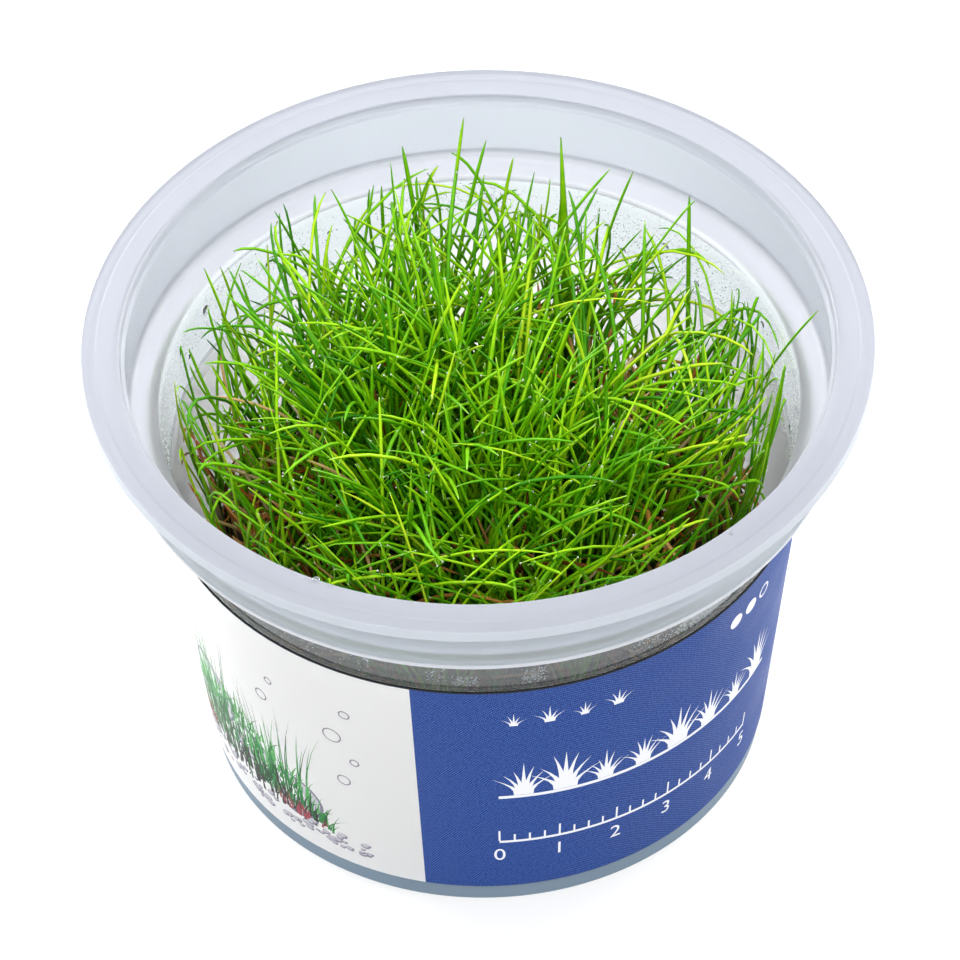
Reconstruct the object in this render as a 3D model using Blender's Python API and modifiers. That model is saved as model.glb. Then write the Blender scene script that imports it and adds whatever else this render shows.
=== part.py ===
"""Dwarf hairgrass in its tissue-culture cup.

A translucent cup of revolution carries a wrapped label, a disc of nutrient gel, a mat of roots
and the plantlets that grow from it. Each plantlet is a crown with its needle leaves extruded
from the crown's own faces, so it is one closed body. Metres, +Z up. The origin is the centre of
the ring that the cup stands on, and the label's printed front faces -Y.
"""

import math

import bmesh
import bpy
import numpy as np
from mathutils import Matrix, Vector, noise
from mathutils.bvhtree import BVHTree

MM = 0.001

# Driving dimensions of the cup, in millimetres
RIM_RADIUS = 50.0
CUP_HEIGHT = 65.2
BASE_RADIUS = 35.5
SHOULDER_DROP = 10.3
SHOULDER_RADIUS = 41.8
COLLAR_RADIUS = 45.8
COLLAR_WALL = 1.4
WALL = 1.2
FLANGE_THICK = 1.1
LIP_HEIGHT = 1.8
RECESS = 0.8
STANDING_RING_INNER = 32.0

# Label, gel and root mat
LABEL_TOP_DROP = 20.6
LABEL_BOTTOM = 2.9
LABEL_THICK = 0.25
LABEL_SEAM = 1.2
GEL_TOP = 20.0
MAT_THICK = 4.6
MAT_RELIEF = 0.7
GAP = 0.3

# Faceting of the turned pieces
STEPS = 60
MAT_STEPS = 30

# Plantlets
TUFTS = 52
FIELD_RADIUS = 33.6
FLARE = 1.12
CROWN_RADIUS = 1.9
CROWN_SQUASH = 0.8
LEAF_RADIUS = 0.7
LEAF_REACH = 14.0
LEAF_CLEARANCE = 0.1
LEAF_TRIES = 300
YOUNG_LEAF = (1.6, 1.0, 0.5, 0.2)
LEAF_SWING = 0.9
BEND_AT = 0.5
UPRIGHT = (0.55, 1.0)
LONG_UPRIGHT = 0.7
UPWARD = 0.15
CANOPY_TOP = 65.5
CANOPY_FALL = 4.5
CANOPY_SCATTER = 4.0
TIP_LIMIT = 38.8
SEED = 11

# Tips of the leaves that stand out of the canopy, as x, y and height
LONG_TIPS = (
    (43.0, 2.5, 66.5),
    (-1.0, 36.4, 69.4),
    (1.8, 35.6, 66.0),
    (11.4, 34.6, 67.2),
    (-34.6, 17.2, 62.6),
    (27.6, 26.6, 63.8),
    (20.6, 32.6, 62.6),
    (-25.6, 28.6, 61.2),
    (-9.0, 36.2, 64.8),
)

COLLECTION = "dwarf_hairgrass_cup"


def clear_scene():
    for obj in list(bpy.data.objects):
        bpy.data.objects.remove(obj, do_unlink=True)


def make_collection(name):
    collection = bpy.data.collections.new(name)
    bpy.context.scene.collection.children.link(collection)
    return collection


def material(name, color, roughness, metallic=0.0, alpha=1.0, transmission=0.0):
    made = bpy.data.materials.new(name)
    made.use_nodes = True
    shader = made.node_tree.nodes["Principled BSDF"]
    shader.inputs["Base Color"].default_value = (*color, 1.0)
    shader.inputs["Roughness"].default_value = roughness
    shader.inputs["Metallic"].default_value = metallic
    shader.inputs["Alpha"].default_value = alpha
    shader.inputs["Transmission Weight"].default_value = transmission
    return made


def add_object(name, mesh, collection, finish):
    obj = bpy.data.objects.new(name, mesh)
    collection.objects.link(obj)
    mesh.materials.append(finish)
    return obj


def profile_mesh(name, points):
    """An open profile in the XZ plane, from (radius, height) points in millimetres."""
    mesh = bpy.data.meshes.new(name)
    vertices = [(radius * MM, 0.0, height * MM) for radius, height in points]
    edges = [(i, i + 1) for i in range(len(points) - 1)]
    mesh.from_pydata(vertices, edges, [])
    return mesh


def turn(obj, steps=STEPS, angle=2 * math.pi):
    screw = obj.modifiers.new("turn", "SCREW")
    screw.axis = "Z"
    screw.angle = angle
    screw.steps = steps
    screw.render_steps = steps
    screw.use_merge_vertices = angle > 2 * math.pi - 0.001
    screw.merge_threshold = 0.00001
    screw.use_smooth_shade = True
    return screw


def body_radius(height):
    """Outer radius of the tapered body at this height."""
    share = height / (CUP_HEIGHT - SHOULDER_DROP)
    return BASE_RADIUS + (SHOULDER_RADIUS - BASE_RADIUS) * share


def inner_radius(height):
    return body_radius(height) - WALL


def build_cup(collection):
    shoulder = CUP_HEIGHT - SHOULDER_DROP
    collar_inner = COLLAR_RADIUS - COLLAR_WALL
    floor = RECESS + WALL
    under_flange = CUP_HEIGHT - FLANGE_THICK
    lip_low = CUP_HEIGHT - LIP_HEIGHT
    inside = [
        (0.0, floor),
        (inner_radius(floor) - 1.6, floor),
        (inner_radius(floor + 1.6), floor + 1.6),
        (inner_radius(shoulder), shoulder),
        (collar_inner - 0.4, shoulder + 0.3),
        (collar_inner, shoulder + 0.8),
        (collar_inner + 0.1, CUP_HEIGHT - 1.5),
        (collar_inner + 0.6, CUP_HEIGHT),
    ]
    rim = [
        (RIM_RADIUS - 1.8, CUP_HEIGHT),
        (RIM_RADIUS - 0.4, CUP_HEIGHT - 0.25),
        (RIM_RADIUS, CUP_HEIGHT - 0.8),
        (RIM_RADIUS, lip_low),
        (RIM_RADIUS - 1.0, lip_low),
        (RIM_RADIUS - 1.1, under_flange),
    ]
    outside = [
        (COLLAR_RADIUS + 0.1, under_flange),
        (COLLAR_RADIUS, shoulder + 0.3),
        (COLLAR_RADIUS + 0.2, shoulder),
        (COLLAR_RADIUS + 0.1, shoulder - 0.9),
        (body_radius(shoulder) + 0.5, shoulder - 1.2),
        (body_radius(shoulder - 2.0), shoulder - 2.0),
        (body_radius(2.0), 2.0),
        (BASE_RADIUS - 0.3, 0.6),
        (BASE_RADIUS - 0.9, 0.0),
        (STANDING_RING_INNER, 0.0),
        (STANDING_RING_INNER - 0.5, RECESS),
        (0.0, RECESS),
    ]
    mesh = profile_mesh("cup", inside + rim + outside)
    cup = add_object("cup", mesh, collection, material("frosted_plastic", (0.82, 0.85, 0.90), 0.35, alpha=0.55))
    turn(cup)
    return cup


def build_label(collection):
    """One strip round the body, its two ends almost meeting at the back."""
    top = CUP_HEIGHT - LABEL_TOP_DROP
    profile = [(body_radius(height) + GAP, height) for height in (top, LABEL_BOTTOM)]
    mesh = profile_mesh("label", profile)
    label = add_object("label", mesh, collection, material("printed_film", (0.07, 0.11, 0.33), 0.4))
    seam = LABEL_SEAM / body_radius(top)
    turn(label, angle=2 * math.pi - seam)
    thickness = label.modifiers.new("film", "SOLIDIFY")
    thickness.thickness = LABEL_THICK * MM
    thickness.offset = 1.0
    label.rotation_euler.z = (math.pi + seam) / 2
    return label


def build_gel(collection):
    floor = RECESS + WALL + GAP
    wall = GAP + 0.1
    profile = [
        (0.0, GEL_TOP),
        (inner_radius(GEL_TOP) - wall, GEL_TOP),
        (inner_radius(floor + 1.9) - wall, floor + 1.9),
        (inner_radius(floor) - 1.9, floor),
        (0.0, floor),
    ]
    gel = add_object(
        "nutrient_gel",
        profile_mesh("nutrient_gel", profile),
        collection,
        material("clear_gel", (0.86, 0.83, 0.70), 0.1, alpha=0.6, transmission=0.8),
    )
    turn(gel)
    return gel


def mat_height(x, y):
    """Height of the root mat's uneven top, from smooth noise over the cup's floor plan."""
    swell = noise.noise(Vector((x * 0.09, y * 0.09, 3.7)))
    return GEL_TOP + GAP + MAT_THICK + MAT_RELIEF * swell


def build_root_mat(collection):
    bottom = GEL_TOP + GAP
    edge = inner_radius(bottom) - GAP - 0.3
    rings = [(edge * share, bottom + MAT_THICK) for share in (0.0, 0.25, 0.5, 0.75, 0.97)]
    profile = rings + [(edge, bottom + MAT_THICK - 1.0), (edge, bottom), (0.0, bottom)]
    mat = add_object(
        "root_mat",
        profile_mesh("root_mat", profile),
        collection,
        material("roots", (0.20, 0.11, 0.05), 0.9),
    )
    turn(mat, steps=MAT_STEPS)
    depsgraph = bpy.context.evaluated_depsgraph_get()
    mesh = bpy.data.meshes.new_from_object(mat.evaluated_get(depsgraph))
    mat.modifiers.clear()
    mat.data = mesh
    top = (bottom + MAT_THICK - 0.01) * MM
    for vertex in mesh.vertices:
        if vertex.co.z > top:
            vertex.co.z = mat_height(vertex.co.x / MM, vertex.co.y / MM) * MM
    return mat


def tuft_places():
    """Crowns spread evenly over the mat, on a golden-angle spiral."""
    golden = math.pi * (3 - math.sqrt(5))
    places = []
    for index in range(TUFTS):
        radius = FIELD_RADIUS * math.sqrt((index + 0.5) / TUFTS)
        angle = index * golden
        x, y = radius * math.cos(angle), radius * math.sin(angle)
        places.append(Vector((x, y, mat_height(x, y) + GAP + CROWN_RADIUS * CROWN_SQUASH)))
    return places


def wall_limit(height):
    """How far from the axis a leaf may reach at this height and stay clear of the wall."""
    return min(inner_radius(height) - GAP - LEAF_RADIUS, TIP_LIMIT)


def canopy_height(x, y):
    """Height of the leaf tips: a low dome, which falls towards the wall."""
    share = math.hypot(x, y) / SHOULDER_RADIUS
    return CANOPY_TOP - CANOPY_FALL * share**2


def leaf_path(root, tip, upright):
    """Root, bend and tip of one leaf, which rises from its crown and then leans over."""
    bend = root.lerp(tip, BEND_AT)
    bend.xy = root.xy.lerp(tip.xy, BEND_AT * upright)
    return [root, bend, tip]


def random_tip(crown, side, rng):
    """A tip in the canopy, out from the crown on this side and inside the cup's wall."""
    lean = rng.uniform(0.15, 1.0) * LEAF_REACH
    heading = side + rng.uniform(-LEAF_SWING, LEAF_SWING)
    tip_x = crown.x * FLARE + lean * math.cos(heading)
    tip_y = crown.y * FLARE + lean * math.sin(heading)
    height = canopy_height(tip_x, tip_y) + rng.uniform(-CANOPY_SCATTER, CANOPY_SCATTER)
    inward = min(1.0, wall_limit(height) / math.hypot(tip_x, tip_y))
    return Vector((tip_x * inward, tip_y * inward, height))


def segment_gaps(start, end, starts, ends):
    """Shortest distance from one segment to each of many."""
    own = end - start
    other = ends - starts
    offset = start - starts
    a = own @ own
    b = other @ own
    c = offset @ own
    e = np.einsum("ij,ij->i", other, other)
    f = np.einsum("ij,ij->i", other, offset)
    denominator = np.maximum(a * e - b * b, 1e-9)
    s = np.clip((b * f - c * e) / denominator, 0, 1)
    t = np.clip((b * s + f) / e, 0, 1)
    s = np.clip((b * t - c) / a, 0, 1)
    nearest = (start + s[:, None] * own) - (starts + t[:, None] * other)
    return np.linalg.norm(nearest, axis=1)


class LeafField:
    """The leaves placed so far, as thick segments, so that a new leaf can be kept clear of them."""

    radii = np.array([LEAF_RADIUS * 1.3, LEAF_RADIUS])

    def __init__(self):
        self.starts = np.empty((0, 3))
        self.ends = np.empty((0, 3))
        self.owners = np.empty(0, int)

    def clear(self, points, owner):
        """True if a leaf on these points touches no leaf of another crown."""
        others = self.owners != owner
        placed = np.tile(self.radii, len(self.owners) // 2)[others]
        for index in (0, 1):
            start, end = (np.array(point) for point in points[index : index + 2])
            gaps = segment_gaps(start, end, self.starts[others], self.ends[others])
            if np.any(gaps < placed + self.radii[index] + LEAF_CLEARANCE):
                return False
        return True

    def add(self, points, owner):
        points = np.array([tuple(point) for point in points])
        self.starts = np.vstack([self.starts, points[:-1]])
        self.ends = np.vstack([self.ends, points[1:]])
        self.owners = np.append(self.owners, [owner, owner])


def side_of(face):
    return math.atan2(face.normal.y, face.normal.x)


def start_crown(place, rng):
    """A crown at its place, and its upward faces that leaves grow from."""
    bm = bmesh.new()
    bmesh.ops.create_icosphere(bm, subdivisions=1, radius=CROWN_RADIUS)
    bmesh.ops.scale(bm, verts=bm.verts, vec=(1.0, 1.0, CROWN_SQUASH))
    spin = Matrix.Rotation(rng.uniform(0, 2 * math.pi), 3, "Z")
    bmesh.ops.rotate(bm, verts=bm.verts, cent=(0, 0, 0), matrix=spin)
    bmesh.ops.translate(bm, verts=bm.verts, vec=place)
    bm.normal_update()
    upward = [face for face in bm.faces if face.normal.z > UPWARD]
    return bm, sorted(upward, key=lambda face: (-round(face.normal.z, 2), side_of(face)))


class Leaf:
    """One leaf extruded from a crown face: the three corners at its bend, and its tip."""

    def __init__(self, bm, face):
        self.root = face.calc_center_median()
        self.normal = face.normal.copy()
        bend = bmesh.ops.extrude_discrete_faces(bm, faces=[face])["faces"][0]
        self.corners = list(bend.verts)
        self.offsets = [corner.co - self.root for corner in self.corners]
        end = bmesh.ops.extrude_discrete_faces(bm, faces=[bend])["faces"][0]
        ends = list(end.verts)
        bmesh.ops.pointmerge(bm, verts=ends, merge_co=self.root)
        self.tip = next(vertex for vertex in ends if vertex.is_valid)
        bmesh.ops.triangulate(bm, faces=[side for side in bm.faces if len(side.verts) > 3])

    def pose(self, bend, tip):
        """Sets the bend square across the leaf, and the tip at its end."""
        aim = self.normal.rotation_difference(tip - self.root).to_matrix()
        for corner, offset in zip(self.corners, self.offsets):
            corner.co = bend + aim @ offset.normalized() * LEAF_RADIUS
        self.tip.co = tip


def crosses_itself(bm):
    """True if two of a crown's faces that share no corner meet."""
    tree = BVHTree.FromBMesh(bm)
    bm.faces.ensure_lookup_table()
    for first, second in tree.overlap(tree):
        if first < second and not set(bm.faces[first].verts) & set(bm.faces[second].verts):
            return True
    return False


def grow_leaf(bm, face, paths, owner, field):
    """Grows a leaf on the first path where it touches nothing, or else a short young one."""
    leaf = Leaf(bm, face)
    for points in paths:
        if field.clear(points, owner):
            leaf.pose(*points[1:])
            if not crosses_itself(bm):
                field.add(points, owner)
                return
    for length in YOUNG_LEAF:
        leaf.pose(leaf.root + leaf.normal * length / 2, leaf.root + leaf.normal * length)
        if not crosses_itself(bm):
            return


def grow_long_leaves(crowns, places, field):
    """Gives each long leaf to the nearest crown, on the side that faces its tip."""
    for tip in map(Vector, LONG_TIPS):
        index = min(range(TUFTS), key=lambda i: (places[i].xy * FLARE - tip.xy).length)
        bm, faces = crowns[index]
        heading = tip.xy - places[index].xy
        face = max(faces, key=lambda f: f.normal.xy.dot(heading))
        faces.remove(face)
        path = leaf_path(face.calc_center_median(), tip, LONG_UPRIGHT)
        grow_leaf(bm, face, [path], index, field)


def canopy_paths(root, side, place, rng):
    for _ in range(LEAF_TRIES):
        yield leaf_path(root, random_tip(place, side, rng), rng.uniform(*UPRIGHT))


def grow_canopy(crowns, places, field, rng):
    """Grows a leaf from every other upward face."""
    for index, (bm, faces) in enumerate(crowns):
        for face in faces:
            root = face.calc_center_median()
            paths = canopy_paths(root, side_of(face), places[index], rng)
            grow_leaf(bm, face, paths, index, field)


def build_grass(collection):
    rng = np.random.default_rng(SEED)
    field = LeafField()
    finish = material("hairgrass", (0.16, 0.40, 0.03), 0.5)
    places = tuft_places()
    crowns = [start_crown(place, rng) for place in places]
    grow_long_leaves(crowns, places, field)
    grow_canopy(crowns, places, field, rng)
    for index, (bm, _) in enumerate(crowns):
        bmesh.ops.scale(bm, verts=bm.verts, vec=(MM, MM, MM))
        mesh = bpy.data.meshes.new(f"tuft_{index + 1:02d}")
        bm.to_mesh(mesh)
        bm.free()
        add_object(mesh.name, mesh, collection, finish)


def main():
    clear_scene()
    collection = make_collection(COLLECTION)
    build_cup(collection)
    build_label(collection)
    build_gel(collection)
    build_root_mat(collection)
    build_grass(collection)


main()
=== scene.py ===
"""Looks of the dwarf hairgrass in its tissue-culture cup.

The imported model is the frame. Each of its nodes is replaced here by a finer piece in the same place:
the turned cup, the printed label, the gel, the root mat and the plantlets with their needle leaves.
Sizes are in millimetres, in the frame's own axes, and become metres when a mesh is made.
"""
import math

import bpy
import numpy as np
from mathutils import Matrix, Vector, geometry, noise


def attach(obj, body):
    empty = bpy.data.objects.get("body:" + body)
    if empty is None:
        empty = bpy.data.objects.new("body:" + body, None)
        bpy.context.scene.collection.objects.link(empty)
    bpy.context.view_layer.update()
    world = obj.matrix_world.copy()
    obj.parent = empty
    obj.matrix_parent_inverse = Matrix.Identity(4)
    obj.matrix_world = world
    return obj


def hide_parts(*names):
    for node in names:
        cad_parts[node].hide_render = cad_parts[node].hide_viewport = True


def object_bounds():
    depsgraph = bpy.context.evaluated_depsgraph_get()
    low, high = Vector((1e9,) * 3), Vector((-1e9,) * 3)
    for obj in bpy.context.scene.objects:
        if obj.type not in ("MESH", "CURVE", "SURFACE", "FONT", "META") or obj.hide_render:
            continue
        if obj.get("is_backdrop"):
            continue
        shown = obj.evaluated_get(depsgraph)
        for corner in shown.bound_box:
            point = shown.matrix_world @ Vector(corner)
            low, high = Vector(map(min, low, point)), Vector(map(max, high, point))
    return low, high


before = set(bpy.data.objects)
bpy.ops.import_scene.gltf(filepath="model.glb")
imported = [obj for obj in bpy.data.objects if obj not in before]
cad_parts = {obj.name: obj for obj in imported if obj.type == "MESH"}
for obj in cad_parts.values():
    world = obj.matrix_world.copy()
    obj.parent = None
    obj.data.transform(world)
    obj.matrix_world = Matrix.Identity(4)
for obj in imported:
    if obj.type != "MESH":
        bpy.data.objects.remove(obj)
CAD_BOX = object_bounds()

MM = 0.001

# The cup and what it holds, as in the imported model. Pieces that touch keep the gap between them.
GAP = 0.3
CUP_HEIGHT = 65.2
BASE_RADIUS = 35.5
SHOULDER_HEIGHT = 54.9
SHOULDER_RADIUS = 41.8
WALL = 1.2
FLOOR_TOP = 2.0
GEL_BOTTOM = FLOOR_TOP + GAP
GEL_TOP = 20.0
MAT_BOTTOM = GEL_TOP + GAP
MAT_THICKNESS = 4.6
MAT_TOP = MAT_BOTTOM + MAT_THICKNESS
MAT_RELIEF = 0.7

# Everything that is grown or scattered draws from this seed plus a number of its own
SEED = 23

# Camera, fitted to the ellipses of the rim, the label and the base in the photograph
CAMERA_PLACE = (0.0, -752.2, 819.0)
CAMERA_AIM = (-0.22, 0.0, 40.11)
CAMERA_ROLL = math.radians(-1.645)
LENS = 317.6
SENSOR = 36.0


def body_radius(height):
    """Outer radius of the cup's tapered body."""
    return BASE_RADIUS + (SHOULDER_RADIUS - BASE_RADIUS) * height / SHOULDER_HEIGHT


def inner_radius(height):
    return body_radius(height) - WALL


def ground_noise(x, y, fineness, layer):
    """Soft noise from -1 to 1 over the ground plan, a different one for each layer."""
    return noise.noise(Vector((x * fineness, y * fineness, layer)))


def mat_height(x, y):
    """Height of the root mat's uneven top."""
    return MAT_TOP + MAT_RELIEF * ground_noise(x, y, 0.09, 3.7)


# Materials

NOISE_RANGE = (0.3, 0.7)


def feed(tree, socket, value):
    """Sets a socket, or links it to a node or to one of a node's outputs."""
    if isinstance(value, bpy.types.Node):
        value = value.outputs[0]
    if isinstance(value, bpy.types.NodeSocket):
        tree.links.new(value, socket)
    else:
        socket.default_value = value


class Finish:
    """A material whose shader takes constants, and colour, roughness and bump from nodes."""

    def __init__(self, name, **constants):
        self.material = bpy.data.materials.new(name)
        self.material.use_nodes = True
        self.tree = self.material.node_tree
        self.shader = self.tree.nodes["Principled BSDF"]
        for socket, value in constants.items():
            self.set(socket.replace("_", " "), value)

    def set(self, socket, value):
        feed(self.tree, self.shader.inputs[socket], value)

    def node(self, kind, inputs=(), **settings):
        made = self.tree.nodes.new("ShaderNode" + kind)
        for name, value in settings.items():
            setattr(made, name, value)
        for socket, value in dict(inputs).items():
            feed(self.tree, made.inputs[socket], value)
        return made

    def place(self):
        """The point's place in the frame, in metres."""
        return self.node("TexCoord").outputs["Object"]

    def noise(self, scale, detail=2.0, where=None):
        """A cloudy noise with about so many lumps to a metre."""
        where = where or self.place()
        return self.node("TexNoise", {"Vector": where, "Scale": scale, "Detail": detail})

    def attribute(self, name):
        return self.node("Attribute", attribute_name=name).outputs["Fac"]

    def math(self, operation, *values):
        return self.node("Math", dict(enumerate(values)), operation=operation)

    def spread(self, value, low, high, to_low=0.0, to_high=1.0):
        """value mapped from low..high to to_low..to_high, and clamped there."""
        inputs = {"Value": value, 1: low, 2: high, 3: to_low, 4: to_high}
        return self.node("MapRange", inputs, clamp=True)

    def vary(self, cloud, low, high):
        """low to high over the middle range of a noise."""
        return self.spread(cloud, *NOISE_RANGE, low, high)

    def mix(self, share, first, second, blend="MIX"):
        made = self.node("Mix", data_type="RGBA", blend_type=blend)
        for socket, value in ((0, share), (6, first), (7, second)):
            feed(self.tree, made.inputs[socket], value)
        return made.outputs[2]

    def ramp(self, value, stops):
        made = self.node("ValToRGB", {"Fac": value})
        elements = made.color_ramp.elements
        while len(elements) < len(stops):
            elements.new(0.5)
        for element, (place, color) in zip(elements, stops):
            element.position = place
            element.color = opaque(color)
        return made.outputs[0]

    def tones(self, cloud, low, high):
        """A base colour that drifts between two tones."""
        self.set("Base Color", self.mix(cloud, opaque(low), opaque(high)))

    def bump(self, height, distance):
        """distance is in millimetres."""
        self.set("Normal", self.node("Bump", {"Height": height, "Distance": distance * MM}))


def opaque(color):
    return (*color, 1.0)


def frosted_plastic(name, see_through, low, high):
    """Milky moulded plastic with a fine grain in its surface. low and high are its cloudy tones."""
    finish = Finish(name, IOR=1.49, Transmission_Weight=see_through)
    grain = finish.noise(3200.0, 3.0)
    finish.tones(finish.noise(60.0), low, high)
    finish.set("Roughness", finish.vary(grain, 0.32, 0.5))
    finish.bump(grain, 0.012)
    return finish.material


def clear_plastic(name, low, high):
    """Body of the cup: clear, with faint flow marks between its two tones."""
    finish = Finish(name, IOR=1.49, Specular_IOR_Level=0.12, Transmission_Weight=0.95)
    flow = finish.noise(45.0, 3.0)
    finish.tones(flow, low, high)
    finish.set("Roughness", finish.vary(flow, 0.05, 0.1))
    finish.bump(flow, 0.03)
    return finish.material


def gel_material():
    finish = Finish("nutrient_gel", IOR=1.34, Transmission_Weight=0.8)
    cloud = finish.noise(80.0, 3.0)
    finish.tones(cloud, (0.62, 0.66, 0.62), (0.78, 0.80, 0.76))
    finish.set("Roughness", finish.vary(cloud, 0.1, 0.3))
    return finish.material


def water_material(name, see_through, roughness):
    finish = Finish(name, IOR=1.33, Transmission_Weight=see_through, Roughness=roughness)
    finish.tones(finish.noise(300.0), (0.95, 0.98, 1.0), (1.0, 1.0, 1.0))
    return finish.material


# What each point of a leaf carries: the leaf's tint, how far along it the point lies, how dry the leaf is,
# 1 on the middle of its faces and 0 at its edges, for painted shade at the edges, and how much its tip is
# painted dark as shade
TRAITS = ("tint", "along", "dry", "ridge", "olive")
LEAF_GREENS = (
    (0.0, (0.016, 0.13, 0.001)),
    (0.3, (0.045, 0.26, 0.001)),
    (0.6, (0.155, 0.46, 0.002)),
    (0.85, (0.37, 0.68, 0.006)),
    (1.0, (0.50, 0.68, 0.02)),
)
DRY_BROWNS = (
    (0.0, (0.07, 0.02, 0.006)),
    (0.35, (0.34, 0.10, 0.015)),
    (0.65, (0.52, 0.24, 0.05)),
    (1.0, (0.66, 0.52, 0.28)),
)


def leaf_material():
    finish = Finish("leaf", IOR=1.4, Specular_IOR_Level=0.2)
    tint, along, dry, ridge, olive = (finish.attribute(trait) for trait in TRAITS)
    mottle = finish.noise(700.0, 3.0)
    green = finish.ramp(finish.math("ADD", tint, finish.vary(mottle, -0.08, 0.08)), LEAF_GREENS)
    # Painted shade: each leaf, green or dry, darkens towards its foot, deep in the tuft
    out_of_foot_shade = finish.spread(along, 0.0, 0.35, 0.35, 1.0)
    green = finish.mix(out_of_foot_shade, opaque((0.05, 0.09, 0.012)), green)
    # Painted shade and light: each face darkens towards its edges, leaving a lighter midline
    edge = finish.spread(ridge, 0.0, 0.8, 0.75, 0.0)
    green = finish.mix(edge, green, opaque((0.30, 0.42, 0.25)), "MULTIPLY")
    # Painted light and shade: a tip turns pale, or dark where the leaf's tip trait is 1
    tip_color = finish.mix(olive, opaque((0.42, 0.60, 0.16)), opaque((0.05, 0.095, 0.02)))
    green = finish.mix(finish.spread(along, 0.9, 1.0, 0.0, 0.9), green, tip_color)
    brown = finish.mix(out_of_foot_shade, opaque((0.03, 0.015, 0.008)), finish.ramp(tint, DRY_BROWNS))
    finish.set("Base Color", finish.mix(dry, green, brown))
    finish.set("Roughness", finish.vary(mottle, 0.3, 0.5))
    finish.bump(mottle, 0.02)
    return finish.material


def root_material():
    finish = Finish("roots", IOR=1.4)
    clump = finish.noise(420.0, 4.0)
    finish.set("Base Color", finish.ramp(clump, ((0.2, (0.02, 0.012, 0.006)), (0.8, (0.11, 0.06, 0.026)))))
    finish.set("Roughness", finish.vary(clump, 0.6, 0.9))
    finish.bump(clump, 0.5)
    return finish.material


THREAD_SCALE = 1000.0
THREAD_TURNS = (38, -52)
THREAD_COLOR = (0.08, 0.21, 0.58)
LIGHT_INKS = ("white_film", "film_back")
LIGHT_DEPTH = 2.2
PLAIN_DRIFT = 0.985


def thread_lines(finish, sheet, degrees):
    """Fine parallel lines over the flat sheet."""
    slanted = finish.node("Mapping", {"Vector": sheet, "Rotation": (0, 0, math.radians(degrees))})
    unevenness = {"Distortion": 0.8, "Detail": 1.0, "Detail Scale": 1.5}
    return finish.node("TexWave", {"Vector": slanted, "Scale": THREAD_SCALE, **unevenness}).outputs["Fac"]


def print_material(name, color, second=None, weave=0.0):
    """An ink on the label's film, or the band of painted shade at its top edge. weave is how strongly the
    film's diagonal threads show.
    """
    finish = Finish("ink_" + name, IOR=1.45, Specular_IOR_Level=0.12)
    if name in LIGHT_INKS:
        finish.set("Subsurface Weight", 1.0)
        finish.set("Subsurface Radius", (1.0, 1.0, 1.0))
        finish.set("Subsurface Scale", LIGHT_DEPTH * MM)
    second = second or tuple(value * PLAIN_DRIFT for value in color)
    cloud = finish.noise(90.0)
    tone = finish.mix(cloud, opaque(color), opaque(second))
    if weave:
        sheet = finish.node("UVMap", uv_map="print").outputs[0]
        crossing = finish.math("MULTIPLY", *(thread_lines(finish, sheet, turn) for turn in THREAD_TURNS))
        wear = finish.spread(finish.noise(2600.0, 1.0, where=sheet), 0.3, 0.6, 0.35, 1.0)
        uneven = finish.math("MULTIPLY", crossing, wear)
        tone = finish.mix(finish.math("MULTIPLY", uneven, weave), tone, opaque(THREAD_COLOR))
        finish.bump(crossing, 0.01)
    finish.set("Base Color", tone)
    finish.set("Roughness", finish.vary(cloud, 0.35, 0.5))
    return finish.material


# Meshes

def add_object(name, data):
    made = bpy.data.objects.new(name, data)
    bpy.context.scene.collection.objects.link(made)
    return made


def add_mesh(name, vertices, faces, materials):
    """A smooth mesh from points in millimetres."""
    mesh = bpy.data.meshes.new(name)
    mesh.from_pydata((np.asarray(vertices) * MM).tolist(), [], faces)
    mesh.shade_smooth()
    for finish in materials:
        mesh.materials.append(finish)
    return add_object(name, mesh)


def make_piece(name, vertices, faces, materials, nodes):
    """A mesh that stands for these CAD nodes."""
    piece = add_mesh(name, vertices, faces, materials)
    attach(piece, "root")
    if nodes:
        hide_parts(*nodes)
    return piece


# A corner's curve starts at most this share of the next side away, and its easing point a little further
BEND_SHARE = 0.45
BEND_STEPS = 5
EASE = 0.12
EASE_SHARE = 0.48


def rounded(corners):
    """A profile whose corners (radius, height, rounding) are replaced by short curves.

    A point a little way off each curve keeps the flat parts flat in the smooth shading.
    """
    points = []
    for index, (radius, height, rounding) in enumerate(corners):
        corner = Vector((radius, height))
        if rounding == 0.0 or index in (0, len(corners) - 1):
            points.append(corner)
            continue
        before = Vector(corners[index - 1][:2]) - corner
        after = Vector(corners[index + 1][:2]) - corner
        start = corner + before.normalized() * min(rounding, before.length * BEND_SHARE)
        end = corner + after.normalized() * min(rounding, after.length * BEND_SHARE)
        points.append(corner + before.normalized() * min(rounding + EASE, before.length * EASE_SHARE))
        for step in range(BEND_STEPS + 1):
            share = step / BEND_STEPS
            points.append(start * (1 - share) ** 2 + corner * 2 * share * (1 - share) + end * share ** 2)
        points.append(corner + after.normalized() * min(rounding + EASE, after.length * EASE_SHARE))
    return points


def turned(points, steps):
    """Vertices and faces of a closed shape turned round +Z. The profile starts and ends on the axis."""
    rings = points[1:-1]
    vertices = [(0.0, 0.0, points[0].y)]
    for ring in rings:
        for step in range(steps):
            angle = 2 * math.pi * step / steps
            vertices.append((ring.x * math.cos(angle), ring.x * math.sin(angle), ring.y))
    vertices.append((0.0, 0.0, points[-1].y))
    last = len(vertices) - 1
    faces = []
    for step in range(steps):
        turn = (step + 1) % steps
        faces.append((0, 1 + step, 1 + turn))
        for ring in range(len(rings) - 1):
            low, high = 1 + ring * steps, 1 + (ring + 1) * steps
            faces.append((low + step, high + step, high + turn, low + turn))
        base = 1 + (len(rings) - 1) * steps
        faces.append((base + step, last, base + turn))
    return vertices, faces


CUP_STEPS = 192
WALL_STEPS = (52.0, 44.4, 34.0, 24.0, 14.0, 2.9)
INNER_STEPS = (14.0, 24.0, 34.0, 43.2, 52.0)

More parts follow.
